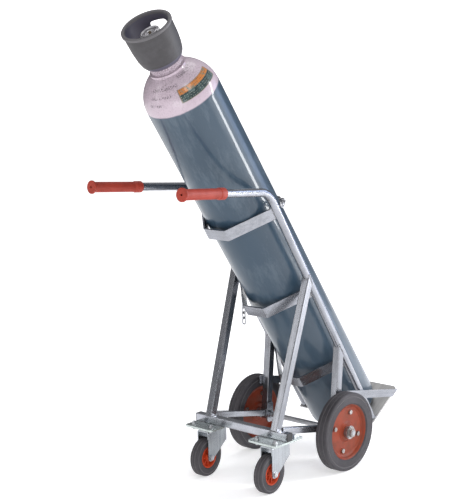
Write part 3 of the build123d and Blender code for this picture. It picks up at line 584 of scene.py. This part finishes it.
def add_bead(mesh, points, radius, closed=False):
    """Rippled bead of weld along a run of points, added to an open mesh."""
    steps = []
    count = len(points)
    spans = count if closed else count - 1
    for index in range(spans):
        start, end = points[index], points[(index + 1) % count]
        pieces = max(1, round((end - start).length / bead_step))
        steps += [start.lerp(end, n / pieces) for n in range(pieces)]
    if not closed:
        steps.append(points[-1])
    rings = []
    total = len(steps)
    for index, spot in enumerate(steps):
        if closed:
            ahead = steps[(index + 1) % total] - steps[index - 1]
        else:
            ahead = steps[min(index + 1, total - 1)] - steps[max(index - 1, 0)]
        ahead.normalize()
        side = ahead.orthogonal().normalized()
        other = ahead.cross(side)
        ripple = ripple_depth * math.sin(index * ripple_pace)
        swell = 1 + ripple + wander_depth * noise.noise(spot * wander_scale)
        if not closed and index in (0, total - 1):
            swell *= end_taper
        ring = []
        for turn in range(bead_sides):
            angle = 2 * math.pi * turn / bead_sides
            offset = side * math.cos(angle) + other * math.sin(angle)
            ring.append(mesh.verts.new(spot + offset * radius * swell))
        rings.append(ring)
    pairs = list(zip(rings, rings[1:]))
    if closed:
        pairs.append((rings[-1], rings[0]))
    for first, second in pairs:
        for turn in range(bead_sides):
            after = (turn + 1) % bead_sides
            mesh.faces.new((first[turn], first[after], second[after], second[turn]))
    if not closed:
        mesh.faces.new(list(reversed(rings[0])))
        mesh.faces.new(rings[-1])


def finish_mesh(mesh, name, material, body):
    """Turns an open mesh into a smooth piece that rides on a body."""
    bmesh.ops.recalc_face_normals(mesh, faces=mesh.faces)
    piece = add_object(mesh, name)
    piece.data.shade_smooth()
    dress(piece, material)
    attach(piece, body)


def on_rail(point, direction, side):
    """Where a line from a point meets the surface of a rail, nearest to the point."""
    spine = on_frame(0, side * rail_y(0), 0)
    run = line_run(spine, on_frame(0, side * rail_y(rail_length), rail_length))
    away = (point - spine) - run * (point - spine).dot(run)
    heading = direction - run * direction.dot(run)
    a = heading.dot(heading)
    b = 2 * away.dot(heading)
    c = away.dot(away) - tube_r ** 2
    spread = max(b * b - 4 * a * c, 0)
    return point + direction * ((-b - math.sqrt(spread)) / (2 * a))


def square_loop(centre, direction, half, points_per_side=7):
    """Points round a square section whose sides lie along Y and square to it."""
    other = direction.cross(left).normalized()
    corners = [(-1, -1), (1, -1), (1, 1), (-1, 1)]
    loop = []
    for (u0, v0), (u1, v1) in zip(corners, corners[1:] + corners[:1]):
        for n in range(points_per_side):
            t = n / points_per_side
            u, v = u0 + (u1 - u0) * t, v0 + (v1 - v0) * t
            loop.append(centre + left * u * half + other * v * half)
    return loop


def coped_loop(low, high, side):
    """Weld path where a square member's top meets a rail."""
    direction = line_run(low, high)
    return [on_rail(spot, direction, side) for spot in square_loop(low, direction, half_square)]


def plane_loop(point, direction, half, normal, anchor):
    """Weld path where a square member's end meets a plane."""
    loop = square_loop(point, direction, half)
    return [p + direction * ((anchor - p).dot(normal) / direction.dot(normal)) for p in loop]


def weld_cradles(mesh, side):
    """Three beads for each cradle, where it meets a rail."""
    for along in cradle_along.values():
        for edge in (-1, 1):
            outer = side * (rail_y(along) - tube_r * 0.6)
            level = along + edge * cradle_width / 2
            inner_start = on_frame(-tube_r * 0.8, outer, level)
            inner_end = on_frame(-tube_r * 1.6, outer - side * cradle_bead_run, level)
            add_bead(mesh, [inner_start, inner_end], fine_bead)
        beside = side * (rail_y(along) - tube_r * 0.3)
        reaches = (-cradle_bead_half, cradle_bead_half)
        add_bead(mesh, [on_frame(-tube_r * 0.95, beside, along + reach) for reach in reaches], middle_bead)


def build_welds():
    mesh = bmesh.new()
    for side in sides.values():
        leg_low, leg_high = leg_line(side)
        post_low, post_high = post_line(side)
        leg_run, post_run = line_run(leg_low, leg_high), line_run(post_low, post_high)
        add_bead(mesh, coped_loop(leg_low, leg_high, side), heavy_bead, closed=True)
        add_bead(mesh, coped_loop(post_low, post_high, side), heavy_bead, closed=True)
        add_bead(mesh, plane_loop(leg_low, leg_run, half_square, up, leg_low), middle_bead, closed=True)
        backward = post_run.cross(left)
        post_face = post_low + backward * half_square
        rear = Vector((crossbar.x + half_square, side * post_y, side_bar_rear_z))
        front = Vector((post_face.x, side * post_y, side_bar_front_z))
        bar_loop = plane_loop(front, line_run(rear, front), half_side_bar, backward, post_face)
        add_bead(mesh, bar_loop, fine_bead, closed=True)
        weld_cradles(mesh, side)
        foot_ring = [
            on_frame(tube_r * math.cos(t), side * rail_y(0) + tube_r * math.sin(t), plate_top)
            for t in (2 * math.pi * n / foot_bead_points for n in range(foot_bead_points))
        ]
        add_bead(mesh, foot_ring, middle_bead, closed=True)
        for edge in (crossbar_low.x, crossbar_high.x):
            for span in plate_bead_spans:
                add_bead(mesh, [Vector((edge, side * y, crossbar_low.z)) for y in span], fine_bead)
    finish_mesh(mesh, "weld_beads", weld_metal(), "frame")


build_welds()


# --- studio ---------------------------------------------------------------------------
floor_glow_near, floor_glow_far = 0.5, 0.95
floor_fade_start, floor_fade_end = 0.7, 1.7
floor_radius, floor_drop, dome_radius = 9, 0.0005, 11


def build_floor():
    """White floor that glows a little, more so far off, so that only near shadows show."""
    mesh = bmesh.new()
    bmesh.ops.create_circle(mesh, cap_ends=True, segments=96, radius=floor_radius)
    floor = add_object(mesh, "floor")
    floor.location.z = -floor_drop
    shader = Shader("floor_white", (0.86, 0.86, 0.87), roughness=0.8)
    shader.set("Emission Color", (1, 1, 1, 1))
    distance = shader.node("ShaderNodeVectorMath", operation="LENGTH")
    shader.link(shader.place, distance.inputs[0])
    away = distance.outputs["Value"]
    glow = shader.band(away, floor_fade_start, floor_fade_end, floor_glow_near, floor_glow_far)
    shader.to(glow, "Emission Strength")
    dress(floor, shader.material)


def build_backdrop():
    """White dome that only the camera sees, so that reflections show the lights instead."""
    mesh = bmesh.new()
    bmesh.ops.create_uvsphere(mesh, u_segments=48, v_segments=24, radius=dome_radius)
    dome = add_object(mesh, "backdrop")
    shader = Shader("backdrop_white", (1, 1, 1), roughness=1)
    shader.set("Emission Color", (1, 1, 1, 1))
    shader.set("Emission Strength", 1.0)
    dress(dome, shader.material)
    dome.visible_diffuse = False
    dome.visible_glossy = False
    dome.visible_shadow = False
    dome.visible_transmission = False


def area_light(name, place, aim, width, height, power, colour=(1, 1, 1)):
    data = bpy.data.lights.new(name, "AREA")
    data.shape = "RECTANGLE"
    data.size = width
    data.size_y = height
    data.energy = power
    data.color = colour
    light = bpy.data.objects.new(name, data)
    light.location = place
    light.rotation_mode = "QUATERNION"
    light.rotation_quaternion = (Vector(aim) - Vector(place)).to_track_quat("-Z", "Y")
    bpy.context.scene.collection.objects.link(light)


def build_world():
    """Soft room light: pale above, darker round the horizon."""
    world = bpy.data.worlds.new("studio")
    bpy.context.scene.world = world
    world.use_nodes = True
    tree = world.node_tree
    background = tree.nodes["Background"]
    place = tree.nodes.new("ShaderNodeTexCoord")
    parts = tree.nodes.new("ShaderNodeSeparateXYZ")
    ramp = tree.nodes.new("ShaderNodeValToRGB")
    height = tree.nodes.new("ShaderNodeMapRange")
    height.inputs["From Min"].default_value = -1
    tree.links.new(place.outputs["Generated"], parts.inputs["Vector"])
    tree.links.new(parts.outputs["Z"], height.inputs["Value"])
    tree.links.new(height.outputs["Result"], ramp.inputs["Fac"])
    stops = ramp.color_ramp.elements
    stops[0].position, stops[0].color = 0.0, (0.75, 0.75, 0.77, 1)
    stops[1].position, stops[1].color = 1.0, (0.95, 0.96, 1.0, 1)
    for position, grey in ((0.46, 0.6), (0.52, 0.22), (0.62, 0.3), (0.8, 0.85)):
        stop = stops.new(position)
        stop.color = (grey, grey, grey * 1.03, 1)
    tree.links.new(ramp.outputs["Color"], background.inputs["Color"])
    background.inputs["Strength"].default_value = 0.42


middle = Vector((-0.1, 0, 0.7))
build_floor()
build_backdrop()
build_world()
area_light("key", (-2.4, -3.2, 3.4), middle, 1.6, 1.6, 56)
area_light("right_strip", (2.1, -2.2, 1.5), middle, 0.42, 2.6, 74)
area_light("right_fill", (2.9, -1.2, 1.3), middle, 1.0, 2.4, 20, (0.55, 0.68, 1.0))
area_light("left_strip", (-3.0, 1.9, 1.6), middle, 0.7, 2.4, 16)
area_light("low_fill", (-2.3, -1.2, 0.45), middle, 1.4, 0.7, 14)
area_light("top", (0.3, 0.4, 4.2), middle, 2.2, 2.2, 46)
bpy.context.scene.view_settings.view_transform = "Standard"
